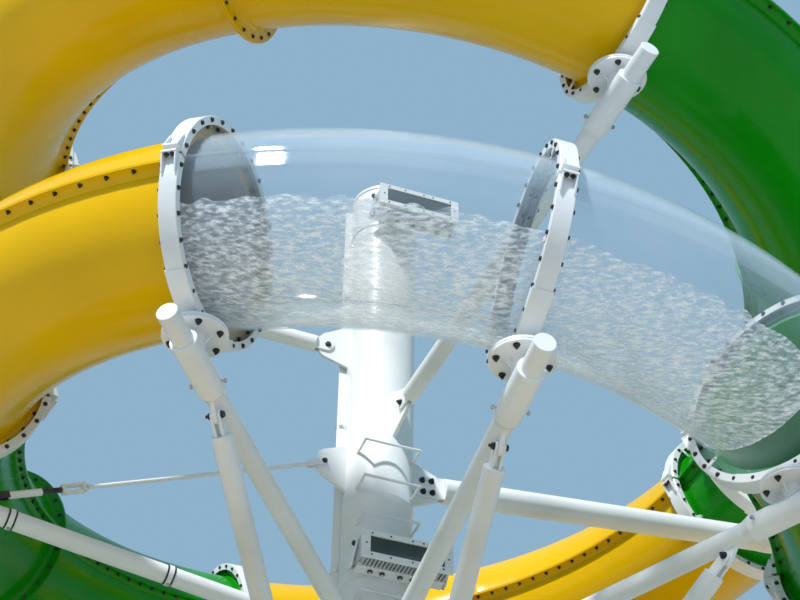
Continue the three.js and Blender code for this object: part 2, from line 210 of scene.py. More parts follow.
class Shape:
    """Gathers the faces of one piece, each with its material's place in the piece's list."""

    def __init__(self):
        self.points = []
        self.faces = []
        self.paints = []

    def skin(self, rows, paint=0, closed=False, caps=False):
        """A skin over rings of points. paint is one number, or one for each band between rings."""
        base = len(self.points)
        count = len(rows[0])
        for row in rows:
            self.points.extend(row)
        bands = len(rows) if closed else len(rows) - 1
        for i in range(bands):
            a = base + i * count
            b = base + (i + 1) % len(rows) * count
            for j in range(count):
                k = (j + 1) % count
                self.faces.append((a + j, a + k, b + k, b + j))
                self.paints.append(paint[i] if isinstance(paint, list) else paint)
        if caps:
            end = base + (len(rows) - 1) * count
            self.faces += [tuple(range(base, base + count)), tuple(range(end, end + count))]
            self.paints += [paint, paint]

    def turned(self, profile, at, axis, sides, paint=0):
        """A closed turned form from (radius, height) pairs along an axis."""
        side, up = square_to(axis)
        turns = [2 * math.pi * i / sides for i in range(sides)]
        rows = [[at + axis * h + (side * math.cos(t) + up * math.sin(t)) * r for t in turns]
                for r, h in profile]
        self.skin(rows, paint, caps=True)

    def bar(self, start, end, radius, sides=32, paint=0, edge=0.003):
        """A round bar with softened ends."""
        length = (end - start).length
        profile = [(radius - edge, 0), (radius, edge), (radius, length - edge), (radius - edge, length)]
        self.turned(profile, start, (end - start).normalized(), sides, paint)

    def weld(self, at, axis, radius, paint=0, size=0.007):
        """A weld bead round a bar."""
        profile = [(radius - size, -size), (radius, -size), (radius + size * 0.7, -size * 0.4),
                   (radius + size * 0.7, size * 0.4), (radius, size), (radius - size, size)]
        self.turned(profile, at, axis, 32, paint)

    def plate(self, outline, at, x, y, thick, paint=0, edge=0.002):
        """A flat plate: an outline in the x and y directions, with softened rims."""
        out = x.cross(y).normalized()
        middle = Vector((sum(p[0] for p in outline), sum(p[1] for p in outline))) / len(outline)

        def row(inset, height):
            spots = []
            for px, py in outline:
                away = Vector((px, py)) - middle
                spot = middle + away * (1 - inset / max(away.length, inset))
                spots.append(at + x * spot.x + y * spot.y + out * height)
            return spots
        half = thick / 2
        self.skin([row(edge, -half), row(0, edge - half), row(0, half - edge), row(edge, half)],
                  paint, caps=True)

    def block(self, size, at, x, y, paint=0, edge=0.002):
        """A box with softened edges: size runs along x, y and their normal."""
        a, b = size[0] / 2, size[1] / 2
        self.plate([(-a, -b), (a, -b), (a, b), (-a, b)], at, x, y, size[2], paint, edge)

    def bolt(self, at, axis, size=0.011, paint=BLACK):
        """A hexagon head on a washer."""
        self.turned([(size * 1.35, 0), (size * 1.35, size * 0.22)], at, axis, 10, paint)
        head = [(size * 1.08, size * 0.2), (size * 1.08, size * 0.95), (size * 0.9, size * 1.1)]
        self.turned(head, at, axis, 6, paint)

    def through_bolt(self, at, axis, half, size=0.014, paint=BLACK):
        """A bolt with its head on one side and its nut and stud end on the other."""
        self.bolt(at + axis * half, axis, size, paint)
        self.bolt(at - axis * half, -axis, size, paint)
        self.bar(at - axis * half, at - axis * (half + size * 1.9), size * 0.55, 8, paint, 0.001)

    def make(self, name, materials, slot, *nodes):
        """The finished object, which rides on the tower and stands for its solids."""
        mesh = bpy.data.meshes.new(name)
        mesh.from_pydata(self.points, [], self.faces)
        for material in materials:
            mesh.materials.append(material)
        mesh.polygons.foreach_set("material_index", self.paints)
        work = bmesh.new()
        work.from_mesh(mesh)
        bmesh.ops.recalc_face_normals(work, faces=work.faces)
        work.to_mesh(mesh)
        work.free()
        mesh.polygons.foreach_set("use_smooth", [True] * len(mesh.polygons))
        mesh.set_sharp_from_angle(angle=math.radians(SHARP_ANGLE))
        piece = bpy.data.objects.new(name, mesh)
        bpy.context.scene.collection.objects.link(piece)
        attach(piece, "root")
        if nodes:
            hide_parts(*nodes)
        return piece


# Materials

class Paint:
    """A node material: a shader, and the textures that vary it."""

    def __init__(self, name):
        self.material = bpy.data.materials.new(name)
        self.material.use_nodes = True
        self.nodes = self.material.node_tree.nodes
        self.links = self.material.node_tree.links
        self.shader = self.nodes["Principled BSDF"]
        self.place = self.nodes.new("ShaderNodeTexCoord").outputs["Object"]

    def set(self, **values):
        for socket, value in values.items():
            self.shader.inputs[socket.replace("_", " ")].default_value = value

    def noise(self, scale, detail=4, stretch=None):
        texture = self.nodes.new("ShaderNodeTexNoise")
        texture.inputs["Scale"].default_value = scale
        texture.inputs["Detail"].default_value = detail
        if stretch:
            mapping = self.nodes.new("ShaderNodeMapping")
            mapping.inputs["Scale"].default_value = stretch
            self.links.new(self.place, mapping.inputs["Vector"])
            self.links.new(mapping.outputs["Vector"], texture.inputs["Vector"])
        else:
            self.links.new(self.place, texture.inputs["Vector"])
        return texture.outputs["Fac"]

    def ramp(self, factor, *stops):
        ramp = self.nodes.new("ShaderNodeValToRGB")
        elements = ramp.color_ramp.elements
        while len(elements) < len(stops):
            elements.new(0.5)
        for element, (position, color) in zip(elements, stops):
            element.position = position
            element.color = (*color, 1)
        self.links.new(factor, ramp.inputs["Fac"])
        return ramp.outputs["Color"]

    def spread(self, factor, start, end, socket):
        """Sets a socket of the shader from a factor, whose start range becomes its end range."""
        span = self.nodes.new("ShaderNodeMapRange")
        for name, value in zip(("From Min", "From Max", "To Min", "To Max"), (*start, *end)):
            span.inputs[name].default_value = value
        self.links.new(factor, span.inputs["Value"])
        self.links.new(span.outputs["Result"], self.shader.inputs[socket])

    def tint(self, factor, *stops):
        self.links.new(self.ramp(factor, *stops), self.shader.inputs["Base Color"])

    def rough(self, factor, low, high):
        self.spread(factor, (0.3, 0.7), (low, high), "Roughness")

    def bump(self, factor, strength, distance):
        bump = self.nodes.new("ShaderNodeBump")
        bump.inputs["Strength"].default_value = strength
        bump.inputs["Distance"].default_value = distance
        self.links.new(factor, bump.inputs["Height"])
        self.links.new(bump.outputs["Normal"], self.shader.inputs["Normal"])


def white_paint():
    paint = Paint("white_steel")
    paint.tint(paint.noise(1.7, 6), (0.3, (0.70, 0.72, 0.72)), (0.5, (0.80, 0.82, 0.83)),
               (0.75, (0.86, 0.88, 0.89)))
    paint.rough(paint.noise(9), 0.28, 0.42)
    paint.bump(paint.noise(160, 2), 0.12, 0.0006)
    return paint.material


def gelcoat(name, dark, middle, light):
    paint = Paint(name)
    paint.tint(paint.noise(0.9, 5), (0.3, dark), (0.5, middle), (0.72, light))
    paint.rough(paint.noise(5), 0.16, 0.3)
    paint.bump(paint.noise(7, 3), 0.25, 0.004)
    paint.set(Specular_IOR_Level=0.18, Coat_Weight=0.06, Coat_Roughness=0.05)
    return paint.material


def plain_paint(name, dark, light, low, high, metal=0.0):
    paint = Paint(name)
    paint.tint(paint.noise(25), (0.35, dark), (0.65, light))
    paint.rough(paint.noise(40), low, high)
    paint.bump(paint.noise(300, 2), 0.15, 0.0004)
    paint.set(Metallic=metal)
    return paint.material


def clear_acrylic():
    paint = Paint("clear_acrylic")
    paint.tint(paint.noise(2), (0.3, (0.52, 0.68, 0.80)), (0.7, (0.64, 0.78, 0.88)))
    edge = paint.nodes.new("ShaderNodeLayerWeight")
    edge.inputs["Blend"].default_value = 0.3
    paint.spread(edge.outputs["Facing"], (0, 1), (0.02, 0.55), "Alpha")
    paint.bump(paint.noise(3, 2), 0.1, 0.004)
    paint.set(Roughness=0.04, IOR=1.49, Coat_Weight=0.5)
    return paint.material


# The water film: painted highlights and painted shade on its ripples, and a painted glow.
def rippled_water_painted_light():
    paint = Paint("rippled_water_painted_light")
    ripples = paint.noise(60, 5, (0.3, 1, 1))
    # The ripple noise colours the film from blue-grey to white: painted shade between the ripples and
    # painted highlights on them.
    paint.tint(ripples, (0.36, (0.60, 0.70, 0.77)), (0.5, (0.80, 0.87, 0.92)), (0.6, (1.0, 1.0, 1.0)))
    streaks = paint.ramp(ripples, (0.36, (0.12, 0.12, 0.12)), (0.52, (0.34, 0.34, 0.34)),
                         (0.68, (0.85, 0.85, 0.85)))
    paint.links.new(streaks, paint.shader.inputs["Alpha"])
    paint.bump(ripples, 0.7, 0.008)
    # The faint emission is a painted glow that keeps the film bright on its shaded underside.
    paint.set(Roughness=0.08, IOR=1.33, Emission_Color=(0.86, 0.94, 1.0, 1), Emission_Strength=0.1)
    return paint.material


def dark_glass():
    paint = Paint("dark_glass")
    paint.tint(paint.noise(4), (0.3, (0.03, 0.035, 0.04)), (0.7, (0.09, 0.1, 0.11)))
    paint.rough(paint.noise(6), 0.05, 0.12)
    paint.set(Coat_Weight=0.6, Coat_Roughness=0.03)
    return paint.material


STEEL_WHITE = white_paint()
FIXINGS = plain_paint("black_fixings", (0.012, 0.012, 0.012), (0.04, 0.04, 0.042), 0.35, 0.6)
ZINC = plain_paint("zinc", (0.42, 0.43, 0.44), (0.62, 0.63, 0.64), 0.3, 0.5, 0.9)
YELLOW = gelcoat("yellow_gelcoat", (0.70, 0.41, 0.0), (0.77, 0.45, 0.0), (0.83, 0.485, 0.0))
GREEN = gelcoat("green_gelcoat", (0.003, 0.19, 0.002), (0.004, 0.24, 0.003), (0.006, 0.29, 0.005))
# The green bays' lining is a lighter green than their shell: painted light standing in for sun shining
# through the thin shell.
GREEN_LINING_PAINTED_LIGHT = gelcoat("green_lining_painted_light", (0.02, 0.36, 0.02), (0.025, 0.42, 0.025), (0.03, 0.48, 0.03))
LINING = gelcoat("grey_lining", (0.36, 0.37, 0.38), (0.44, 0.45, 0.46), (0.52, 0.53, 0.54))
CLEAR = clear_acrylic()
WATER = rippled_water_painted_light()
GLASS = dark_glass()
LAMP_GREY = plain_paint("lamp_grey", (0.50, 0.53, 0.55), (0.60, 0.63, 0.65), 0.35, 0.5)
STEELWORK = [STEEL_WHITE, FIXINGS, ZINC]
BAY_PAINTS = {
    "Y": ([YELLOW, FIXINGS, LINING], "yellow_shell"),
    "G": ([GREEN, FIXINGS, GREEN_LINING_PAINTED_LIGHT], "green_shell"),
    "C": ([CLEAR, FIXINGS], "clear_shell"),
}


# The coil

def coil_centre(angle):
    turn = math.radians(angle)
    above = min(turn, 0)
    below = max(turn - math.radians(LOWER_START), 0)
    steepened = below ** 2 / 2 if below < 1 else below - 0.5
    reach = COIL_RADIUS - COIL_WIDENING * above
    level = CLEAR_LEVEL - FALL * turn + EXTRA_FALL_ABOVE * above ** 2 - EXTRA_FALL_BELOW * steepened
    return Vector((COIL_OFF_CENTRE + reach * math.sin(turn), -reach * math.cos(turn), level))


class Station:
    """One place on the coil: the tube's middle, and its directions out from the mast, along and up."""

    def __init__(self, angle):
        turn = math.radians(angle)
        outward = Vector((math.sin(turn), -math.cos(turn), 0))
        self.centre = coil_centre(angle)
        self.along = (coil_centre(angle + 0.5) - coil_centre(angle - 0.5)).normalized()
        self.up = outward.cross(self.along).normalized()
        self.out = self.along.cross(self.up).normalized()

    def away(self, turn):
        """The direction at one turn round the tube, in degrees: 0 away from the mast, 90 on top."""
        return self.out * math.cos(math.radians(turn)) + self.up * math.sin(math.radians(turn))

    def spot(self, turn, radius, shift=0.0):
        return self.centre + self.away(turn) * radius + self.along * shift

    def ring(self, radius, shift=0.0):
        return [self.spot(360 * i / AROUND, radius, shift) for i in range(AROUND)]


def steps(start, end, size):
    count = max(1, round((end - start) / size))
    return [start + (end - start) * i / count for i in range(count + 1)]


# The tube

# A bay's end flange and the sweep down to its shell, as (shift along the tube, radius) pairs
FLANGE_PROFILE = (
    (0.0, FLANGE_RADIUS - 0.003),
    (0.003, FLANGE_RADIUS),
    (FLANGE_THICK - 0.003, FLANGE_RADIUS),
    (FLANGE_THICK, FLANGE_RADIUS - 0.003),
    (FLANGE_THICK, 0.55),
    (0.017, 0.535),
    (0.027, 0.525),
    (0.05, TUBE_RADIUS),
)


def shell(shape, start, end, lining):
    """The round shell of one bay with a bolting flange at each end, and its lining."""
    first, last = Station(start), Station(end)
    inner = TUBE_RADIUS - TUBE_WALL
    middle = [Station(angle) for angle in steps(start, end, BEND_STEP)[1:-1]]
    outside = [first.ring(radius, HALF_GAP + shift) for shift, radius in FLANGE_PROFILE]
    outside += [station.ring(TUBE_RADIUS) for station in middle]
    outside += [last.ring(radius, -HALF_GAP - shift) for shift, radius in reversed(FLANGE_PROFILE)]
    inside = [last.ring(inner, -HALF_GAP)]
    inside += [station.ring(inner) for station in reversed(middle)]
    inside += [first.ring(inner, HALF_GAP)]
    paints = [0] * len(outside) + [lining] * (len(inside) - 1) + [0]
    shape.skin(outside + inside, paints, closed=True)


def seam(shape, start, end, side):
    """The two bolted flanges along one side of the tube, where its halves meet."""
    half = [(TUBE_RADIUS - 0.006, 0.045), (0.526, 0.028), (0.540, SEAM_HALF + 0.004),
            (0.556, SEAM_HALF), (SEAM_REACH - 0.003, SEAM_HALF), (SEAM_REACH, SEAM_HALF - 0.003),
            (SEAM_REACH, 0.0015), (SEAM_REACH - 0.004, 0.0004)]
    section = half + [(reach, -lift) for reach, lift in reversed(half)]
    angles = steps(start, end, BEND_STEP)
    shifts = [FLANGE_THICK / 2] + [0.0] * (len(angles) - 2) + [-FLANGE_THICK / 2]
    rows = []
    for angle, shift in zip(angles, shifts):
        station = Station(angle)
        rows.append([station.centre + station.along * shift + station.out * side * reach + station.up * lift
                     for reach, lift in section])
    shape.skin(rows, 0, caps=True)


def seam_bolts(shape, start, end, side):
    length = math.radians(end - start) * COIL_RADIUS
    count = int(length / BOLT_SPACING)
    for i in range(count):
        station = Station(start + (end - start) * (i + 0.5) / count)
        at = station.centre + station.out * side * SEAM_BOLT_RADIUS
        shape.through_bolt(at, station.up, SEAM_HALF, TUBE_BOLT_SIZE)


def flange_bolts(shape, angle, facing, radius=FLANGE_BOLT_RADIUS, height=FLANGE_THICK):
    """Bolt heads round one face of a joint: facing is 1 downstream and -1 upstream."""
    station = Station(angle)
    count = int(2 * math.pi * radius / BOLT_SPACING)
    for i in range(count):
        at = station.spot(360 * (i + 0.5) / count, radius, facing * height)
        shape.bolt(at, station.along * facing, TUBE_BOLT_SIZE)


def add_bay(name, start, end, letter):
    """One bay, yellow (Y), green (G) or clear (C). A clear one has no lining and no bolts in its seams."""
    materials, slot = BAY_PAINTS[letter]
    clear = letter == "C"
    shape = Shape()
    shell(shape, start, end, 0 if clear else LINED)
    for side in (1, -1):
        seam(shape, start, end, side)
        if not clear:
            seam_bolts(shape, start, end, side)
    flange_bolts(shape, start, 1)
    flange_bolts(shape, end, -1)
    shape.make(f"{name}_shell", materials, slot, name)


def film_depth(spot, from_border):
    """How thick the water is at a spot, thin at its borders and rippled between them."""
    ripple = noise.noise(spot * 11) * 0.5 + noise.noise(spot * 27) * 0.5
    share = min(from_border / FILM_EDGE_TURN, 1)
    return FILM_EDGE_DEPTH + share * (FILM_DEPTH + FILM_RIPPLE * ripple)


def add_film(start, end):
    """The sheet of water that runs down the clear bays, with wandering borders."""
    wall = TUBE_RADIUS - TUBE_WALL - FILM_OFF_WALL
    rows = []
    for angle in steps(start + FILM_MARGIN, end - FILM_MARGIN, FILM_STEP):
        station = Station(angle)
        wander = station.centre * 2.5
        low = FILM_LOW_BORDER + 5 * noise.noise(wander) + 3 * noise.noise(wander * 7)
        narrowing = FILM_NARROWING * (angle - start) / (end - start)
        high = FILM_HIGH_BORDER - narrowing + 4 * noise.noise(wander * 5)
        turns = [low + (high - low) * i / FILM_COLUMNS for i in range(FILM_COLUMNS + 1)]
        outer = [station.spot(turn, wall) for turn in turns]
        inner = []
        for turn in reversed(turns):
            from_border = min(turn - turns[0], turns[-1] - turn)
            depth = film_depth(station.spot(turn, wall - FILM_DEPTH), from_border)
            inner.append(station.spot(turn, wall - depth))
        rows.append(outer + inner)
    shape = Shape()
    shape.skin(rows, caps=True)
    shape.make("water_film", [WATER], "clear_shell")


def add_tube():
    joints = (*UPPER_STARTS, CLEAR_START)
    for i, letter in enumerate(UPPER_PAINT):
        add_bay(f"upper_bay_{i + 1:02d}", joints[i], joints[i + 1], letter)
    for i, (name, letter) in enumerate(zip(CLEAR_NAMES, CLEAR_PAINT)):
        start = CLEAR_START + CLEAR_BAY * i
        add_bay(name, start, start + CLEAR_BAY, letter)
    for i, letter in enumerate(LOWER_PAINT):
        start = LOWER_START + LOWER_BAY * i
        add_bay(f"lower_bay_{i + 1:02d}", start, start + LOWER_BAY, letter)
    add_film(CLEAR_START, CLEAR_START + CLEAR_BAY * CLEAR_PAINT.count("C") - FILM_END_GAP)


# The supports

class Support:
    """Where one support's pieces run, in the upright plane through the mast at its bearing."""

    def __init__(self, number, joint, climb, prop="", below=ARM_BELOW_RING, radius=ARM_RADIUS,
                 fall=BRACE_FALL):
        self.name = f"support_{number:02d}"
        self.joint = joint
        self.prop = prop
        self.below = below
        self.radius = radius
        self.sleeve = max(SLEEVE_RADIUS, radius + 0.004)
        self.station = Station(joint)
        self.seat = self.station.spot(270, RING_OUTER)
        self.radial = Vector((self.seat.x, self.seat.y, 0)).normalized()
        self.side = UP.cross(self.radial)
        self.reach = math.hypot(self.seat.x, self.seat.y)
        self.slope = climb / (self.reach - PLATE_REACH)
        self.along = (self.on_arm(2) - self.on_arm(1)).normalized()
        self.brace_foot = self.level_at(PLATE_REACH) - fall

    def level_at(self, distance):
        return self.seat.z - self.below - self.slope * (self.reach - distance)

    def at(self, distance, level):
        return self.radial * distance + UP * level

    def on_arm(self, distance):
        return self.at(distance, self.level_at(distance))


def support_list():
    """Every support, from the top down: above the clear bays, at them and below them."""
    found = list(UPPER_ARMS)
    for i, arm_sizes in enumerate(CLEAR_ARMS):
        found.append({**arm_sizes, "joint": CLEAR_START + CLEAR_BAY * i, "prop": "brace"})
    for i in range(len(LOWER_PAINT) // 2):
        joint = LOWER_START + LOWER_BAY * (2 * i + 2)
        low = Station(joint).spot(270, RING_OUTER).z < POST_BELOW
        found.append({"joint": joint, "climb": 0, "prop": "post" if low else "brace"})
    return [Support(i + 1, **sizes) for i, sizes in enumerate(found)]


def sweep_round(shape, station, section, start, end, count):
    """A section of (shift, radius) pairs swept round a joint from one turn to another."""
    turns = [start + (end - start) * i / count for i in range(count + 1)]
    rows = [[station.spot(turn, radius, shift) for shift, radius in section] for turn in turns]
    shape.skin(rows, WHITE, caps=True)


def channel(half, outer, lip, sheet):
    """The section of a channel that opens towards the tube."""
    return [(-half, outer - 0.003), (0.003 - half, outer), (half - 0.003, outer), (half, outer - 0.003),
            (half, lip), (half - sheet, lip), (half - sheet, outer - sheet),
            (sheet - half, outer - sheet), (sheet - half, lip), (-half, lip)]


def clamp_ring(shape, joint):
    """The channel ring in two halves, with its bolts, its ears and its small hoisting tabs."""
    station = Station(joint)
    section = channel(RING_HALF_WIDTH, RING_OUTER, RING_LIP, RING_SHEET)
    sweep_round(shape, station, section, 1, 179, 60)
    sweep_round(shape, station, section, 181, 359, 60)
    for facing in (1, -1):
        flange_bolts(shape, joint, facing, RING_BOLT_RADIUS, RING_HALF_WIDTH)
    for turn in (0, 180):
        ring_ears(shape, station, turn)
    for turn in TAB_TURNS:
        hoisting_tab(shape, station, turn)


def hoisting_tab(shape, station, turn):
    """A small round-ended tab with an eye, welded flat to one lip of the ring."""
    out = station.away(turn)
    tangent = station.away(turn + 90)
    reach, half, middle = 0.024, 0.014, 0.03
    ends = [math.radians(90 + 30 * i) for i in range(7)]
    outline = [(reach, half), *((reach * math.cos(a) - middle, half * math.sin(a)) for a in ends),
               (reach, -half)]
    at = station.spot(turn, RING_LIP - 0.004, -RING_HALF_WIDTH - 0.003)
    shape.plate(outline, at, out, tangent, 0.006)
    # The eye is a short black plug through the tab: painted shade standing in for its hole.
    shape.turned([(0.006, -0.004), (0.006, 0.004)], at - out * 0.034, station.along, 10, BLACK)


def saddle(shape, station):
    """The channel round the foot of a ring that stands on its neck."""
    section = channel(RING_HALF_WIDTH + SADDLE_SHEET, RING_OUTER + SADDLE_SHEET, RING_OUTER - 0.05,
                      SADDLE_SHEET)
    sweep_round(shape, station, section, 270 - SADDLE_HALF_TURN, 270 + SADDLE_HALF_TURN, 24)


def ring_ears(shape, station, turn):
    """The two ears with their bolts that draw the ring's halves together."""
    out = station.away(turn)
    tangent = station.away(turn + 90)
    for way in (1, -1):
        at = station.spot(turn, RING_OUTER + EAR_OFF_RING) + tangent * way * EAR_APART
        shape.block((0.086, 0.052, 0.012), at, station.along, out)
        for shift in (-0.037, 0.037):
            root = station.spot(turn, RING_OUTER - 0.006, shift) + tangent * way * 0.028
            shape.plate([(0, 0), (0.046, 0), (0.008, 0.10), (0, 0.10)], root, out, tangent * way, 0.008)
    for shift in (-0.016, 0.016):
        shape.through_bolt(station.spot(turn, RING_OUTER + 0.022, shift), tangent, 0.028, 0.011)


def neck(shape, support):
    """The neck between arm and ring, with its pair of bolted discs and gussets."""
    top = support.seat.z + 0.004
    arm_top = support.level_at(support.reach) + support.sleeve
    joint_level = (arm_top + support.seat.z) / 2
    foot = support.at(support.reach, arm_top - 0.03)
    shape.bar(foot, support.at(support.reach, top), NECK_RADIUS)
    low = support.at(support.reach, joint_level)
    for way in (1, -1):
        at = low + UP * (way * 0.001)
        profile = [(DISC_RADIUS - 0.002, 0), (DISC_RADIUS, 0.002), (DISC_RADIUS, DISC_THICK - 0.002),
                   (DISC_RADIUS - 0.002, DISC_THICK)]
        shape.turned(profile, at, UP * way, 40)
    turns = [math.radians(30 + 60 * i) for i in range(6)]
    for turn in turns:
        away = support.radial * math.cos(turn) + support.side * math.sin(turn)
        shape.through_bolt(low + away * DISC_BOLT_RADIUS, UP, DISC_THICK + 0.001, 0.014)
    gusset = [(0.05, 0), (0.125, 0), (0.10, 0.004), (0.062, 0.05), (0.05, 0.05)]
    for quarter in range(4):
        away = Matrix.Rotation(math.radians(90 * quarter), 3, "Z") @ support.side
        for way in (1, -1):
            shape.plate(gusset, low + UP * way * DISC_THICK, away, UP * way, 0.01)


def arm(shape, support):
    """The arm: plain capped pipe, the sleeve under the ring with its set screws, and its fork."""
    along = support.along
    end = support.on_arm(support.reach + ARM_PAST_TUBE)
    sleeve_out = support.on_arm(support.reach + SLEEVE_OUT)
    sleeve_in = support.on_arm(support.reach - SLEEVE_IN)
    shape.bar(support.on_arm(PLATE_REACH + 0.02), end, support.radius)
    taper = 0.05
    length = (sleeve_out - sleeve_in).length
    profile = [(support.radius, -taper), (support.sleeve - 0.003, -0.004), (support.sleeve, 0.0),
               (support.sleeve, length - 0.004), (support.sleeve - 0.004, length)]
    shape.turned(profile, sleeve_in, along, 40)
    for way in (1, -1):
        at = sleeve_in + along * 0.05 + support.side * way * (support.sleeve - 0.004)
        shape.bar(at, at + support.side * way * 0.022, 0.007, 10, STEEL, 0.001)
        shape.bolt(at + support.side * way * 0.02, support.side * way, 0.010, STEEL)
    if support.radius > ARM_RADIUS:
        fork(shape, support, support.on_arm(PLATE_REACH - 0.1), along, 0.082, 4)
    else:
        fork(shape, support, support.on_arm(PLATE_REACH - 0.06), along, 0.05, 1)


def fork(shape, support, pin, away, half, bolts):
    """Two round-ended straps from a capped pipe that hold a plate between them, and the bolts."""
    high = away.cross(support.side).normalized()
    ends = [math.radians(90 + 22.5 * i) for i in range(9)]
    tip = 0.0 if bolts == 1 else -0.035
    outline = [(FORK_LENGTH, half), *((tip + half * math.cos(a) * 0.85, half * math.sin(a)) for a in ends),
               (FORK_LENGTH, -half)]
    gap = PLATE_THICK / 2 + FORK_THICK / 2 + 0.001
    for way in (1, -1):
        shape.plate(outline, pin + support.side * way * gap, away, high, FORK_THICK)
    spots = {1: [(0, 0)], 4: [(-0.03, -0.045), (-0.03, 0.045), (0.035, -0.045), (0.035, 0.045)]}[bolts]
    for x, y in spots:
        shape.through_bolt(pin + away * x + high * y, support.side, gap + FORK_THICK / 2, 0.016)


def brace(shape, support):
    """The sloping brace: capped pipe, forks at both ends, and the lug under the arm."""
    arm_level = support.level_at(PIN_FROM_MAST)
    top = support.at(PIN_FROM_MAST, arm_level - PIN_BELOW_ARM)
    away = (top - support.at(PLATE_REACH, support.brace_foot)).normalized()
    foot = support.at(PLATE_REACH, support.brace_foot) - away * 0.07
    shape.bar(foot + away * 0.1, top - away * BRACE_SHORT_OF_PIN, BRACE_RADIUS, 40)
    fork(shape, support, foot, away, 0.046, 1)
    fork(shape, support, top, -away, 0.031, 1)
    lug = [(-0.03, 0.06), (-0.033, -0.02), (-0.018, -0.044), (0.006, -0.048), (0.03, -0.03),
           (0.085, 0.06)]
    shape.plate(lug, top, support.radial, UP, PLATE_THICK)


def stay_seat(shape, support):
    """The lug on the arm that the stay is pinned to."""
    root = support.on_arm(STAY_FROM_MAST)
    outline = [(0, 0), (0.11, 0), (0.11, 0.11), (0.085, 0.15), (0.025, 0.15), (0, 0.11)]
    shape.plate(outline, root, support.radial, UP, PLATE_THICK)
    for distance in BANDS_FROM_MAST:
        band(shape, support, distance)


def band(shape, support, distance):
    """A clamp band round the arm: a bright strap between two dark edges, and its bolt ends."""
    at = support.on_arm(distance)
    for paint, half, thick in ((BLACK, 0.026, 0.004), (WHITE, 0.015, 0.006)):
        profile = [(ARM_RADIUS - 0.006, -half), (ARM_RADIUS + thick, -half), (ARM_RADIUS + thick, half),
                   (ARM_RADIUS - 0.006, half)]
        shape.turned(profile, at, support.along, 32, paint)
    for way in (1, -1):
        shape.bolt(at + UP * way * (ARM_RADIUS + 0.003), UP * way, 0.011, STEEL)


def post(shape, support):
    """The post under a low arm, with its bolted foot."""
    seat = support.seat
    level = support.level_at(support.reach)
    ground = Vector((seat.x, seat.y, 0))
    shape.bar(ground + UP * 0.01, Vector((seat.x, seat.y, level)), POST_RADIUS, 40)
    profile = [(POST_FOOT_RADIUS - 0.003, 0), (POST_FOOT_RADIUS, 0.003), (POST_FOOT_RADIUS, 0.021),
               (POST_FOOT_RADIUS - 0.003, 0.024)]
    shape.turned(profile, ground, UP, 48)
    shape.weld(ground + UP * 0.026, UP, POST_RADIUS + 0.001)
    rib = [(POST_RADIUS - 0.01, 0), (0.19, 0), (0.19, 0.02), (0.11, 0.15), (0.075, 0.15)]
    for i in range(8):
        away = Matrix.Rotation(math.radians(45 * i), 3, "Z") @ support.side
        if i % 2:
            shape.plate(rib, ground + UP * 0.022, away, UP, 0.012)
        else:
            shape.bolt(ground + away * 0.18 + UP * 0.024, UP, 0.017, STEEL)


def add_supports(supports):
    props = {"brace": brace, "stay": stay_seat, "post": post}
    for support in supports:
        shape = Shape()
        clamp_ring(shape, support.joint)
        saddle(shape, support.station)
        neck(shape, support)
        arm(shape, support)
        if support.prop:
            props[support.prop](shape, support)
        shape.make(f"{support.name}_steel", STEELWORK, "white_steel", support.name)
    shape = Shape()
    clamp_ring(shape, RING_ALONE)
    shape.make("joint_ring_steel", STEELWORK, "white_steel", "joint_ring")


def add_stay(support):
    """The stay: rod, turnbuckle box, dark eye, socket and dark links, pinned at both ends.

    The fittings' places are shares of its length from the mast."""
    shape = Shape()
    top = support.at(PLATE_REACH - 0.04, STAY_TOP)
    foot = support.at(STAY_FROM_MAST + 0.03, support.level_at(STAY_FROM_MAST) + 0.088)
    away = (foot - top).normalized()
    length = (foot - top).length
    high = away.cross(support.side)

    def along(share):
        return top + away * length * share
    shape.bar(top + away * 0.08, along(0.74), 0.013, 16)
    box = along(0.762)
    box_length = length * 0.066
    shape.bar(along(0.722), along(0.733), 0.021, 6, STEEL)
    for way in (1, -1):
        shape.block((box_length, 0.04, 0.012), box + high * way * 0.022, away, support.side)
        shape.block((0.016, 0.056, 0.05), box + away * way * (box_length / 2 - 0.008), away, high)
    shape.bar(along(0.795), along(0.858), 0.017, 12, BLACK)
    shape.bar(along(0.85), along(0.94), 0.022, 20)
    for way in (1, -1):
        for end, out, reach, paint in ((top, away, 0.14, WHITE), (foot, -away, 0.16, BLACK)):
            at = end + out * (reach / 2 - 0.02) + support.side * way * 0.019
            shape.block((reach, 0.042, 0.01), at, out, high, paint)
    for end in (top, foot):
        shape.through_bolt(end, support.side, 0.025, 0.014)
    shape.make("stay_rod_steel", STEELWORK, "white_steel", "stay_rod")


# The mast

def mast_plate(shape, support, level):
    """A plate on the mast that an arm, a brace or the stay is pinned to, with its two welds."""
    outline = [(MAST_RADIUS - 0.02, level - PLATE_ROOT), (PLATE_REACH - 0.03, level - PLATE_TIP - 0.01),
               (PLATE_REACH, level - PLATE_TIP + 0.025), (PLATE_REACH, level + PLATE_TIP - 0.025),
               (PLATE_REACH - 0.03, level + PLATE_TIP + 0.01), (MAST_RADIUS - 0.02, level + PLATE_ROOT)]
    shape.plate(outline, MAST_FOOT, support.radial, UP, PLATE_THICK)
    for way in (1, -1):
        root = support.radial * (MAST_RADIUS - 0.012) + support.side * way * 0.018
        shape.bar(root + UP * (level - PLATE_ROOT), root + UP * (level + PLATE_ROOT), 0.012, 8)


def rung_axes():
    """The way the rungs and the lamps face, and the way to their side."""
    out = Vector((math.cos(RUNG_BEARING), math.sin(RUNG_BEARING), 0))
    return out, UP.cross(out)


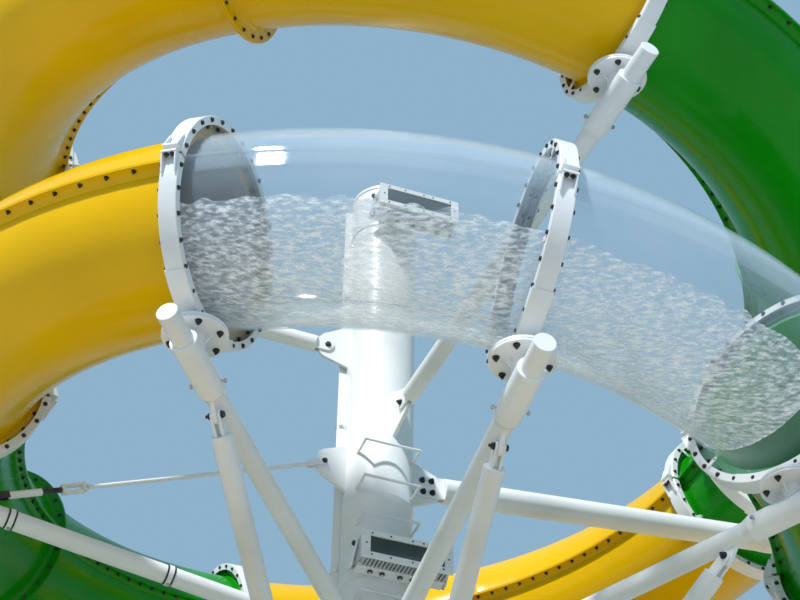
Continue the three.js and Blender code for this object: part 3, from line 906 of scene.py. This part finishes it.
def step_iron(shape, level):
    """A wide U-shaped rung on the front of the mast."""
    out, side = rung_axes()
    root = math.sqrt(MAST_RADIUS ** 2 - RUNG_HALF_WIDTH ** 2) - 0.012
    ends = []
    for way in (1, -1):
        foot = out * root + side * way * RUNG_HALF_WIDTH + UP * level
        corner = out * RUNG_REACH + side * way * RUNG_HALF_WIDTH + UP * level
        shape.bar(foot, corner, RUNG_RADIUS, 12)
        ends.append(corner + side * way * RUNG_RADIUS)
    shape.bar(*ends, RUNG_RADIUS, 12)


def mast_pipe(shape):
    """The mast's pipe with its weld beads and its cap."""
    profile = [(MAST_RADIUS - 0.004, FOOT_THICK), (MAST_RADIUS, FOOT_THICK + 0.004)]
    for level in MAST_WELDS:
        bead = MAST_RADIUS + 0.003
        profile += [(MAST_RADIUS, level - 0.006), (bead, level), (MAST_RADIUS, level + 0.006)]
    cap = MAST_RADIUS + CAP_OVERHANG
    profile += [(MAST_RADIUS, MAST_TOP - 0.018), (cap - 0.003, MAST_TOP - 0.015), (cap, MAST_TOP - 0.012),
                (cap, MAST_TOP + 0.012), (cap - 0.003, MAST_TOP + 0.015)]
    shape.turned(profile, MAST_FOOT, UP, 72)


def add_mast(supports):
    shape = Shape()
    mast_pipe(shape)
    for support in supports:
        mast_plate(shape, support, support.level_at(PLATE_REACH))
        if support.prop == "brace":
            mast_plate(shape, support, support.brace_foot)
        if support.prop == "stay":
            mast_plate(shape, support, STAY_TOP)
    for i in range(RUNG_COUNT):
        level = RUNG_LOW + RUNG_PITCH * i
        if all(abs(level - lamp_level) > RUNG_FROM_LAMP for lamp_level, _ in LAMPS.values()):
            step_iron(shape, level)
    shape.make("mast_steel", STEELWORK, "white_steel", "mast")


def add_base():
    """The square foot plate with its ribs and anchor bolts."""
    shape = Shape()
    low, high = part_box("base_plate")
    size = high.x - low.x
    shape.block((size, size, FOOT_THICK), UP * (FOOT_THICK / 2), X_WAY, Y_WAY, WHITE, 0.004)
    shape.weld(UP * (FOOT_THICK + 0.002), UP, MAST_RADIUS + 0.002)
    rib = [(MAST_RADIUS, 0.03), (0.64, 0.03), (0.64, 0.1), (0.62, 0.12), (0.27, 0.36),
           (MAST_RADIUS, 0.36)]
    for i in range(8):
        away = Matrix.Rotation(math.radians(22.5 + 45 * i), 3, "Z") @ X_WAY
        shape.plate(rib, MAST_FOOT, away, UP, 0.024)
    for i in range(8):
        away = Matrix.Rotation(math.radians(45 * i), 3, "Z") @ X_WAY
        anchor(shape, away * ANCHOR_RADII[i % 2] + UP * FOOT_THICK)
    shape.make("base_plate_steel", STEELWORK, "white_steel", "base_plate")


def anchor(shape, at):
    """An anchor bolt on its square washer."""
    shape.block((0.11, 0.11, 0.012), at + UP * 0.006, X_WAY, Y_WAY)
    shape.bolt(at + UP * 0.012, UP, 0.026, STEEL)
    shape.bar(at + UP * 0.03, at + UP * 0.085, 0.015, 12, STEEL)


def add_trunk():
    """The cable channel up the mast's side, with its straps."""
    shape = Shape()
    low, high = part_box("cable_trunk")
    centre = (low + high) / 2
    size = high - low
    shape.block(tuple(size), centre, X_WAY, Y_WAY, WHITE, 0.006)
    level = low.z + STRAP_START
    while level < high.z:
        for way in (1, -1):
            at = Vector((centre.x, centre.y + way * size.y * 0.62, level))
            shape.block((size.x * 0.5, size.y * 0.3, 0.03), at, X_WAY, Y_WAY)
        shape.bolt(Vector((low.x, centre.y, level)), -X_WAY, 0.007, STEEL)
        level += STRAP_PITCH
    shape.make("cable_trunk_cover", STEELWORK, "white_steel", "cable_trunk")


# The lamps

def add_lamp(name):
    """A flood lamp: a dark window in a screwed frame, with fins and cable glands underneath."""
    shape = Shape()
    level, shift = LAMPS[name]
    out, side = rung_axes()
    wide, deep, tall = LAMP_WIDTH / 2, LAMP_DEPTH / 2, LAMP_HEIGHT / 2
    white, grey, glass, dark = range(4)

    def at(x, y, z):
        return out * (LAMP_REACH + y) + side * (shift + x) + UP * (level + z)
    body = (2 * wide - 0.02, 2 * tall - 0.04, 2 * deep - 0.02)
    shape.block(body, at(0, -0.01, 0.012), side, UP, grey, 0.008)
    for way in (1, -1):
        bar = at(0, deep - FRAME_DEPTH / 2, way * (tall - FRAME_BAR / 2))
        shape.block((2 * wide, FRAME_BAR, FRAME_DEPTH), bar, side, UP, white, 0.003)
        upright = at(way * (wide - FRAME_SIDE / 2), deep - FRAME_DEPTH / 2, 0)
        shape.block((FRAME_SIDE, 2 * tall - 0.06, FRAME_DEPTH), upright, side, UP, white, 0.003)
        shape.bolt(at(way * (wide - 0.03), deep, 0), out, SCREW_SIZE, dark)
        for x in FRAME_SCREWS:
            shape.bolt(at(x, deep, way * (tall - FRAME_BAR / 2)), out, SCREW_SIZE, dark)
    shape.block((2 * wide - 0.1, 2 * tall - 0.066, 0.008), at(0, deep - 0.014, 0), side, UP, dark)
    shape.block((2 * wide - 0.118, 2 * tall - 0.082, 0.008), at(0, deep - 0.011, 0), side, UP, glass)
    for i in range(FIN_COUNT):
        fin = at((i - FIN_COUNT // 2) * FIN_PITCH, 0.035, 0.012 - tall)
        shape.block((0.007, 0.024, 0.09), fin, side, UP, grey, 0.001)
    shape.block((2 * wide - 0.03, 0.022, 0.085), at(0, 0.045 - deep, 0.012 - tall), side, UP, white, 0.003)
    for x in GLAND_PLACES:
        gland = at(x, 0.048 - deep, 0.001 - tall)
        shape.turned([(0.013, 0), (0.017, 0.002), (0.017, 0.012), (0.013, 0.014)], gland, -UP, 20, dark)
        shape.turned([(0.010, 0.01), (0.009, 0.017)], gland, -UP, 16, grey)
    shape.make(f"{name}_housing", [STEEL_WHITE, LAMP_GREY, GLASS, FIXINGS], "lamp_body", name)


def add_lamp_bracket(name):
    """The yoke of a lamp: a strap behind it, a sloping cheek at each end, and its neck on the mast."""
    shape = Shape()
    level, shift = LAMPS[name]
    out, side = rung_axes()
    back = LAMP_REACH - LAMP_DEPTH / 2 - YOKE_THICK
    end = LAMP_WIDTH / 2 + YOKE_THICK / 2 + 0.002
    low = YOKE_STRAP / 2 - YOKE_DROP
    middle = side * shift + UP * level
    strap = middle + out * (back + YOKE_THICK / 2) + UP * low
    shape.block((2 * end + YOKE_THICK, YOKE_STRAP, YOKE_THICK - 0.002), strap, side, UP)
    cheek = [(0, -YOKE_DROP), (0.045, -YOKE_DROP), (0.14, 0.03), (0.14, 0.055), (0.125, 0.07), (0.1, 0.07),
             (0, -0.039)]
    for way in (1, -1):
        root = middle + out * back + side * way * end
        shape.plate(cheek, root, out, UP, YOKE_THICK - 0.004)
        pivot = root + out * 0.117 + UP * 0.045
        shape.bolt(pivot + side * way * 0.006, side * way, 0.014, BLACK)
    neck_depth = back - MAST_RADIUS + 0.02
    neck_at = side * (shift / 3) + out * (back - neck_depth / 2 + 0.004) + UP * (level - 0.03)
    shape.block((0.12, 0.09, neck_depth), neck_at, side, UP)
    strip = MAST_RADIUS + 0.006
    profile = [(MAST_RADIUS - 0.004, -0.03), (strip, -0.03), (strip, 0.03), (MAST_RADIUS - 0.004, 0.03)]
    shape.turned(profile, UP * (level - 0.03), UP, 60)
    shape.make(f"{name}_yoke", STEELWORK, "white_steel", f"{name}_bracket")


# Stage, light and camera: the camera's turns are in radians, the sun's in degrees

CAMERA_AT = Vector((-0.045, -10.024, 1.60))
CAMERA_LENS = 85.7
CAMERA_PITCH = 0.728
CAMERA_YAW = 0.017
CAMERA_ROLL = 0.017
FLOOR_REACH = 60
SURROUND_COLOR = (0.46, 0.74, 1.0, 1)
SURROUND_STRENGTH = 0.6
SUN_STRENGTH = 4.0
SUN_SPREAD = 4
SUN_TURN = (38, -24)


def add_camera():
    data = bpy.data.cameras.new("camera")
    data.sensor_width = 36
    data.lens = CAMERA_LENS
    data.clip_end = 300
    forward = Vector((math.sin(CAMERA_YAW) * math.cos(CAMERA_PITCH),
                      math.cos(CAMERA_YAW) * math.cos(CAMERA_PITCH), math.sin(CAMERA_PITCH)))
    right = Vector((math.cos(CAMERA_YAW), -math.sin(CAMERA_YAW), 0))
    up = right.cross(forward)
    right, up = (right * math.cos(CAMERA_ROLL) + up * math.sin(CAMERA_ROLL),
                 up * math.cos(CAMERA_ROLL) - right * math.sin(CAMERA_ROLL))
    camera = bpy.data.objects.new("camera", data)
    turn = Matrix((right, up, -forward)).transposed().to_4x4()
    camera.matrix_world = Matrix.Translation(CAMERA_AT) @ turn
    bpy.context.scene.collection.objects.link(camera)
    bpy.context.scene.camera = camera


def add_floor():
    mesh = bpy.data.meshes.new("floor")
    corners = ((-1, -1), (1, -1), (1, 1), (-1, 1))
    mesh.from_pydata([(x * FLOOR_REACH, y * FLOOR_REACH, 0) for x, y in corners], [], [(0, 1, 2, 3)])
    paint = Paint("pale_floor")
    paint.tint(paint.noise(0.4), (0.3, (0.48, 0.47, 0.45)), (0.7, (0.52, 0.51, 0.49)))
    paint.set(Roughness=0.9)
    mesh.materials.append(paint.material)
    floor = bpy.data.objects.new("floor", mesh)
    bpy.context.scene.collection.objects.link(floor)


def add_light():
    world = bpy.data.worlds.new("pale_surround")
    bpy.context.scene.world = world
    world.use_nodes = True
    surround = world.node_tree.nodes["Background"]
    surround.inputs["Color"].default_value = SURROUND_COLOR
    surround.inputs["Strength"].default_value = SURROUND_STRENGTH
    data = bpy.data.lights.new("key", "SUN")
    data.energy = SUN_STRENGTH
    data.angle = math.radians(SUN_SPREAD)
    key = bpy.data.objects.new("key", data)
    key.rotation_euler = (*(math.radians(turn) for turn in SUN_TURN), 0)
    bpy.context.scene.collection.objects.link(key)


bpy.context.scene.view_settings.view_transform = "Standard"
add_camera()
add_floor()
add_light()
add_tube()
tower_supports = support_list()
add_supports(tower_supports)
add_stay(next(support for support in tower_supports if support.prop == "stay"))
add_mast(tower_supports)
add_base()
add_trunk()
for lamp in LAMPS:
    add_lamp(lamp)
    add_lamp_bracket(lamp)
